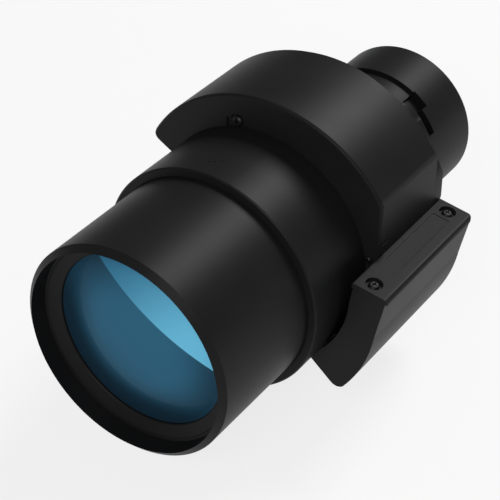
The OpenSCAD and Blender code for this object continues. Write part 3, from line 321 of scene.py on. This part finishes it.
glass_edge_r, glass_clear_r = 48, 44.5
glass_seat_y, glass_back_y = -223.75, -217.75
glass_front_curve, glass_back_curve = 150, 120
glass_break = 0.3
glass_rim = [(glass_edge_r - glass_break, glass_seat_y), (glass_edge_r, glass_seat_y + glass_break),
             (glass_edge_r, glass_back_y - glass_break), (glass_edge_r - glass_break, glass_back_y)]
# the arc bounds a painted reflection on the glass
arc_x, arc_z, arc_r, arc_blur = 0.3767, 0.6307, 0.7138, 0.0002
# the second coat colour is painted shade; the two colours below it are a painted reflection, brighter towards the
# lower right
coat_middle, coat_painted_shade = (0.037, 0.155, 0.26, 1), (0.012, 0.036, 0.06, 1)
painted_reflection_upper, painted_reflection_lower = (0.045, 0.21, 0.36, 1), (0.19, 0.66, 0.95, 1)
glass_coat_and_painted_light, place, feed = finish_of("coated_glass", Specular_IOR_Level=0.02)
x, y, z = apart(place)
# painted reflection inside the arc, then painted shade towards the rim and the lower left
from_arc = ((x - arc_x) ** 2 + (z - arc_z) ** 2) ** 0.5
painted_reflection = from_arc.between(arc_r - 0.0003, arc_r + arc_blur, 1.0, 0.0)
rim_painted_shade = from_axis(x, z).between(0.016, 0.046)
low_left_painted_shade = (0 - z - x * 0.7).between(-0.006, 0.04)
coat_and_painted_shade = (rim_painted_shade * 0.7 + low_left_painted_shade * 0.45).between(0.0, 1.0).mix(coat_middle, coat_painted_shade)
painted_reflection_tint = (x - z).between(-0.06, 0.025).mix(painted_reflection_upper, painted_reflection_lower)
feed(Base_Color=painted_reflection.mix(coat_and_painted_shade, painted_reflection_tint),
     Roughness=0.05 + 0.02 * noise(place, scale=20, detail=1))
settle(turned("front_glass", dome(glass_front_curve, glass_clear_r, glass_seat_y) + glass_rim
              + dome(glass_back_curve, glass_clear_r, glass_back_y)[::-1], glass_coat_and_painted_light), "front_lens")

# Main barrel: fixed outer tube behind the hood, turned and anodised, with
# three small index spots printed on top in flat black.
barrel_r = 59.6
barrel_edge = 0.3
spot_r, spot_rise = 0.4, 0.02
spot_sides = 20
spot_places = ((95.4, -160.8), (93.4, -159.7), (90.7, -157.4))  # degrees about the axis, y
ink_dark, ink_pale = (0.0012, 0.0012, 0.0013, 1), (0.002, 0.002, 0.0021, 1)
broken_edges("main_barrel", barrel_edge, anodised)
spot_ink, place, feed = finish_of("index_ink", Specular_IOR_Level=0.05)
feed(Base_Color=mottled(noise(place, scale=600), ink_dark, ink_pale),
     Roughness=0.7 + 0.1 * noise(place, scale=300))
made = bmesh.new()
for degrees, along in spot_places:
    outward = Vector((math.cos(math.radians(degrees)), 0, math.sin(math.radians(degrees))))
    stand = outward.to_track_quat("Z", "Y").to_matrix().to_4x4()
    centre = (outward * barrel_r + Vector((0, along, 0))) / per_metre
    bmesh.ops.create_cone(made, cap_ends=True, segments=spot_sides, radius1=spot_r / per_metre,
                          radius2=spot_r / per_metre, depth=2 * spot_rise / per_metre,
                          matrix=Matrix.Translation(centre) @ stand)
mesh = bpy.data.meshes.new("index_spots")
made.to_mesh(mesh)
made.free()
index_spots = piece_of("index_spots", mesh, spot_ink)
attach(index_spots, "lens_body")

# Motor cover and side box: black glass-filled plastic with a fine moulded
# texture; screws hold the cover's face and the box from inside the barrel.
moulded_dark, moulded_pale = (0.0112, 0.0112, 0.0117, 1), (0.013, 0.013, 0.0135, 1)
cover_edge, box_edge, lid_edge = 0.4, 0.25, 0.35
moulded, place, feed = finish_of("moulded_black", Specular_IOR_Level=0.1)
grain = noise(place, scale=1100, detail=3, roughness=0.6)
feed(Base_Color=mottled(noise(place, scale=40), moulded_dark, moulded_pale),
     Roughness=0.4 + 0.08 * noise(place, scale=40, detail=3),
     Normal=bumped(grain, strength=0.2, depth=0.05))
broken_edges("motor_cover", cover_edge, moulded)
broken_edges("box_body", box_edge, moulded)
broken_edges("box_lid", lid_edge, moulded)

# Flange and rear tube: turned aluminium, anodised; the tube's drum carries
# three pads and pockets for the projector's lock.
mount_edge = 0.25
broken_edges("mount_flange", mount_edge, anodised)
broken_edges("rear_barrel", mount_edge, anodised)

# Screws: blackened steel pan heads with a cross recess. One tree makes a
# screw from its sizes and stands it on every point of its carrier.
steel_dark, steel_pale = (0.02, 0.02, 0.022, 1), (0.045, 0.045, 0.048, 1)
blackened, place, feed = finish_of("blackened_steel", Metallic=0.85)
feed(Base_Color=mottled(noise(place, scale=500, detail=3), steel_dark, steel_pale, high=0.75),
     Roughness=0.42 + 0.12 * noise(place, scale=300, detail=3),
     Normal=bumped(noise(place, scale=900), strength=0.15, depth=0.03))
dress(blackened, "sleeve_screws", "box_screws", "board_screws")

screw_tree = bpy.data.node_groups.new("pan_head_screws", "GeometryNodeTree")
screw_tree.interface.new_socket("Geometry", in_out="INPUT", socket_type="NodeSocketGeometry")
screw_inputs = {name: screw_tree.interface.new_socket(name, in_out="INPUT", socket_type=kind).identifier
                for name, kind in (("Head Radius", "NodeSocketFloat"), ("Head Height", "NodeSocketFloat"),
                                   ("Shank Radius", "NodeSocketFloat"), ("Shank Length", "NodeSocketFloat"),
                                   ("Recess Width", "NodeSocketFloat"), ("Recess Length", "NodeSocketFloat"),
                                   ("Recess Depth", "NodeSocketFloat"), ("Turn", "NodeSocketVector"),
                                   ("Finish", "NodeSocketMaterial"))}
screw_tree.interface.new_socket("Geometry", in_out="OUTPUT", socket_type="NodeSocketGeometry")
group_in = screw_tree.nodes.new("NodeGroupInput")
group_out = screw_tree.nodes.new("NodeGroupOutput")


def given(name):
    return Field(screw_tree, group_in.outputs[name])


def screw_node(kind, settings=None, **inputs):
    """Node of the screw tree, with its sockets' names written with underscores."""
    return given("Turn").node(kind, settings, {name.replace("_", " "): value for name, value in inputs.items()})


def at(x, y, z):
    return screw_node("ShaderNodeCombineXYZ", X=x, Y=y, Z=z)


# the head is a cylinder whose radius falls off towards the crown
crown_fall, crown_power = 0.36, 3
blank = screw_node("GeometryNodeMeshCylinder", Vertices=40, Side_Segments=6, Radius=1.0, Depth=1.0)
spot_x, spot_y, spot_z = apart(screw_node("GeometryNodeInputPosition"))
height = spot_z + 0.5
narrowed = given("Head Radius") * (1 - crown_fall * height ** crown_power)
head = screw_node("GeometryNodeSetPosition", Geometry=blank,
                  Position=at(spot_x * narrowed, spot_y * narrowed, height * given("Head Height")))
shank = screw_node("GeometryNodeMeshCylinder", Vertices=24, Radius=given("Shank Radius"),
                   Depth=given("Shank Length"))
shank_z = given("Head Height") * 0.3 - given("Shank Length") * 0.5
shank = screw_node("GeometryNodeTransform", Geometry=shank, Translation=at(0.0, 0.0, shank_z))
whole = screw_node("GeometryNodeMeshBoolean", {"operation": "UNION", "solver": "EXACT"})
for solid in (head, shank):
    screw_tree.links.new(solid.socket, whole.socket.node.inputs["Mesh 2"])

# two crossed bars cut the recess
cut = screw_node("GeometryNodeMeshBoolean", {"operation": "DIFFERENCE", "solver": "EXACT"},
                 Mesh_1=whole, Self_Intersection=True)
for one, other in (("Recess Length", "Recess Width"), ("Recess Width", "Recess Length")):
    arm = screw_node("GeometryNodeMeshCube", Size=at(given(one), given(other), given("Recess Depth") * 2))
    arm = screw_node("GeometryNodeTransform", Geometry=arm, Translation=at(0.0, 0.0, given("Head Height")))
    screw_tree.links.new(arm.socket, cut.socket.node.inputs["Mesh 2"])

crease = 0.6
stood = screw_node("GeometryNodeInstanceOnPoints", Points=given("Geometry"), Instance=cut, Rotation=given("Turn"))
real = screw_node("GeometryNodeRealizeInstances", Geometry=stood)
real = screw_node("GeometryNodeSetShadeSmooth", Geometry=real, Shade_Smooth=True)
real = screw_node("GeometryNodeSetShadeSmooth", {"domain": "EDGE"}, Geometry=real,
                  Selection=screw_node("GeometryNodeInputMeshEdgeAngle") > crease, Shade_Smooth=False)
real = screw_node("GeometryNodeSetMaterial", Geometry=real, Material=given("Finish"))
screw_tree.links.new(real.socket, group_out.inputs[0])

recess_w, recess_len, recess_depth = 0.8, 3.2, 1
shank_r = 1.5


def screws(name, stands_for, seats, turn, head_r, head_h, length):
    """Screws that stand for a node's, with seats and sizes in millimetres."""
    carrier = bpy.data.meshes.new(name + "_seats")
    carrier.from_pydata([tuple(v / per_metre for v in seat) for seat in seats], [], [])
    holder = bpy.data.objects.new(name + "_seats", carrier)
    bpy.context.scene.collection.objects.link(holder)
    maker = holder.modifiers.new("screws", "NODES")
    maker.node_group = screw_tree
    for socket, value in (("Head Radius", head_r), ("Head Height", head_h), ("Shank Radius", shank_r),
                          ("Shank Length", length), ("Recess Width", recess_w), ("Recess Length", recess_len),
                          ("Recess Depth", recess_depth)):
        maker[screw_inputs[socket]] = value / per_metre
    maker[screw_inputs["Turn"]] = turn
    maker[screw_inputs["Finish"]] = blackened
    mesh = bpy.data.meshes.new_from_object(holder.evaluated_get(bpy.context.evaluated_depsgraph_get()))
    bpy.data.objects.remove(holder)
    settle(piece_of(name, mesh, blackened), stands_for)


flange_seat_y = -2.2 - 66.65  # depth of the sinking, then the flange's rear face
flange_screw_rings = ((55.4, (45, 135, 225, 315)), (66.8, (46, 90, 134)))  # orbit, degrees about the axis
flange_seats = [(orbit * math.cos(math.radians(degrees)), flange_seat_y, orbit * math.sin(math.radians(degrees)))
                for orbit, ring in flange_screw_rings for degrees in ring]
cover_seat, side_seat = (-13.3, -125.85, 61.4), (60.9, -126.75, 10.6)
lid_seats = [(74.246, -144.95, 11.53), (74.246, -74.25, 11.53)]
facing_front = (math.pi / 2, 0.0, 0.0)
facing_rear = (-math.pi / 2, 0.0, 0.0)
facing_lid = (0.0, math.asin(0.1702), 0.0)
screws("flange_pan_screws", "flange_screws", flange_seats, facing_rear, head_r=2.7, head_h=1.8, length=13)
screws("cover_pan_screw", "cover_screws", [cover_seat], facing_front, head_r=2.75, head_h=1.8, length=9)
screws("side_pan_screw", "cover_screws", [side_seat], facing_front, head_r=2, head_h=1.4, length=11)
screws("lid_pan_screws", "lid_screws", lid_seats, facing_lid, head_r=2.75, head_h=1.6, length=9)

# Sleeve, cams and cells: turned aluminium left dark and lightly greased, with
# turning marks; they carry the inner elements and steer them.
greased_dark, greased_pale = (0.16, 0.16, 0.165, 1), (0.24, 0.24, 0.245, 1)
turned_metal, place, feed = finish_of("turned_aluminium", Metallic=1.0)
marks = noise(place, scale=70, detail=3, roughness=0.6, stretch=(0.2, 70, 0.2))
feed(Base_Color=mottled(marks, greased_dark, greased_pale),
     Roughness=0.34 + 0.14 * marks,
     Normal=bumped(marks, strength=0.2, depth=0.04))
dress(turned_metal, "guide_sleeve", "focus_ring", "zoom_cam", "variator_cell", "compensator_cell", "rear_cell")

# Inner and rear glass: polished elements, dark from outside, with a faint
# violet coating that deepens towards the rim.
violet_middle, violet_rim = (0.035, 0.03, 0.075, 1), (0.012, 0.016, 0.03, 1)
inner_glass, place, feed = finish_of("inner_glass", Specular_IOR_Level=0.5, Coat_Weight=0.3, Coat_Roughness=0.03)
x, y, z = apart(place)
feed(Base_Color=from_axis(x, z).between(0.008, 0.034).mix(violet_middle, violet_rim),
     Roughness=0.05 + 0.02 * noise(place, scale=20, detail=1))
dress(inner_glass, "second_lens", "variator_lens", "compensator_lens", "rear_inner_lens", "rear_outer_lens")

# Clips: open rings of blued spring steel that snap into grooves and hold the
# turning rings and the idlers in place.
spring_dark, spring_pale = (0.12, 0.13, 0.16, 1), (0.2, 0.21, 0.24, 1)
spring, place, feed = finish_of("spring_steel", Metallic=1.0)
feed(Base_Color=mottled(noise(place, scale=200, detail=3), spring_dark, spring_pale),
     Roughness=0.25 + 0.15 * noise(place, scale=300))
dress(spring, "front_clip", "thrust_ring", "idler_clips")

# Motor bracket: sheet steel, zinc plated with a fine spangle, screwed to the
# flange through its posts.
zinc_dark, zinc_pale = (0.5, 0.5, 0.49, 1), (0.62, 0.62, 0.6, 1)
zinc, place, feed = finish_of("zinc_plate", Metallic=1.0)
spangle = noise(place, scale=240, detail=4, roughness=0.6)
feed(Base_Color=mottled(spangle, zinc_dark, zinc_pale),
     Roughness=0.28 + 0.2 * spangle,
     Normal=bumped(spangle, strength=0.1, depth=0.03))
dress(zinc, "motor_bracket")

# Motors: drawn steel cans, nickel plated, with the drawing's fine lines along
# them; their noses sit in the bracket.
nickel_dark, nickel_pale = (0.55, 0.53, 0.5, 1), (0.66, 0.64, 0.6, 1)
nickel, place, feed = finish_of("nickel_can", Metallic=1.0)
lines = noise(place, scale=90, detail=3, roughness=0.6, stretch=(30, 1, 30))
feed(Base_Color=mottled(lines, nickel_dark, nickel_pale),
     Roughness=0.2 + 0.14 * lines)
dress(nickel, "focus_motor", "zoom_motor")

# Pins, pinions and contacts: turned brass with a warm, slightly dulled face;
# the pins follow the cams' slots, the pinions sit on the motors.
brass_fresh, brass_dull = (0.62, 0.46, 0.2, 1), (0.45, 0.32, 0.14, 1)
brass, place, feed = finish_of("turned_brass", Metallic=1.0)
dulled = noise(place, scale=260, detail=3, roughness=0.6)
feed(Base_Color=mottled(dulled, brass_fresh, brass_dull, high=0.75),
     Roughness=0.24 + 0.2 * dulled)
dress(brass, "focus_pins", "variator_pins", "compensator_pins", "focus_pinion", "zoom_pinion", "contact_pins")

# Idlers: gears moulded in acetal, milky and slightly waxy, that turn on the
# bracket's stub axles.
acetal_dark, acetal_pale = (0.72, 0.7, 0.62, 1), (0.78, 0.76, 0.69, 1)
acetal, place, feed = finish_of("acetal", Specular_IOR_Level=0.4)
feed(Base_Color=mottled(noise(place, scale=150), acetal_dark, acetal_pale),
     Roughness=0.4 + 0.12 * noise(place, scale=400))
dress(acetal, "focus_idler", "zoom_idler")

# Board: glass-fibre sheet under green lacquer, with copper tracks that show
# through it as paler lines; the connector on it is black nylon.
lacquer_green, track_green = (0.008, 0.075, 0.028, 1), (0.03, 0.16, 0.06, 1)
track_pitch, track_w = 0.0032, 0.0007
track_share = 0.47
lacquer, place, feed = finish_of("board_lacquer", Specular_IOR_Level=0.45, Coat_Weight=0.3)
x, y, z = apart(place)
pitches = y * (1 / track_pitch)
tracks = (pitches.maths("FRACT", pitches) < track_w / track_pitch) * (noise(place, scale=130, detail=1) > track_share)
feed(Base_Color=tracks.mix(lacquer_green, track_green),
     Roughness=0.32 + 0.1 * noise(place, scale=300))
dress(lacquer, "circuit_board")
dress(moulded, "connector")
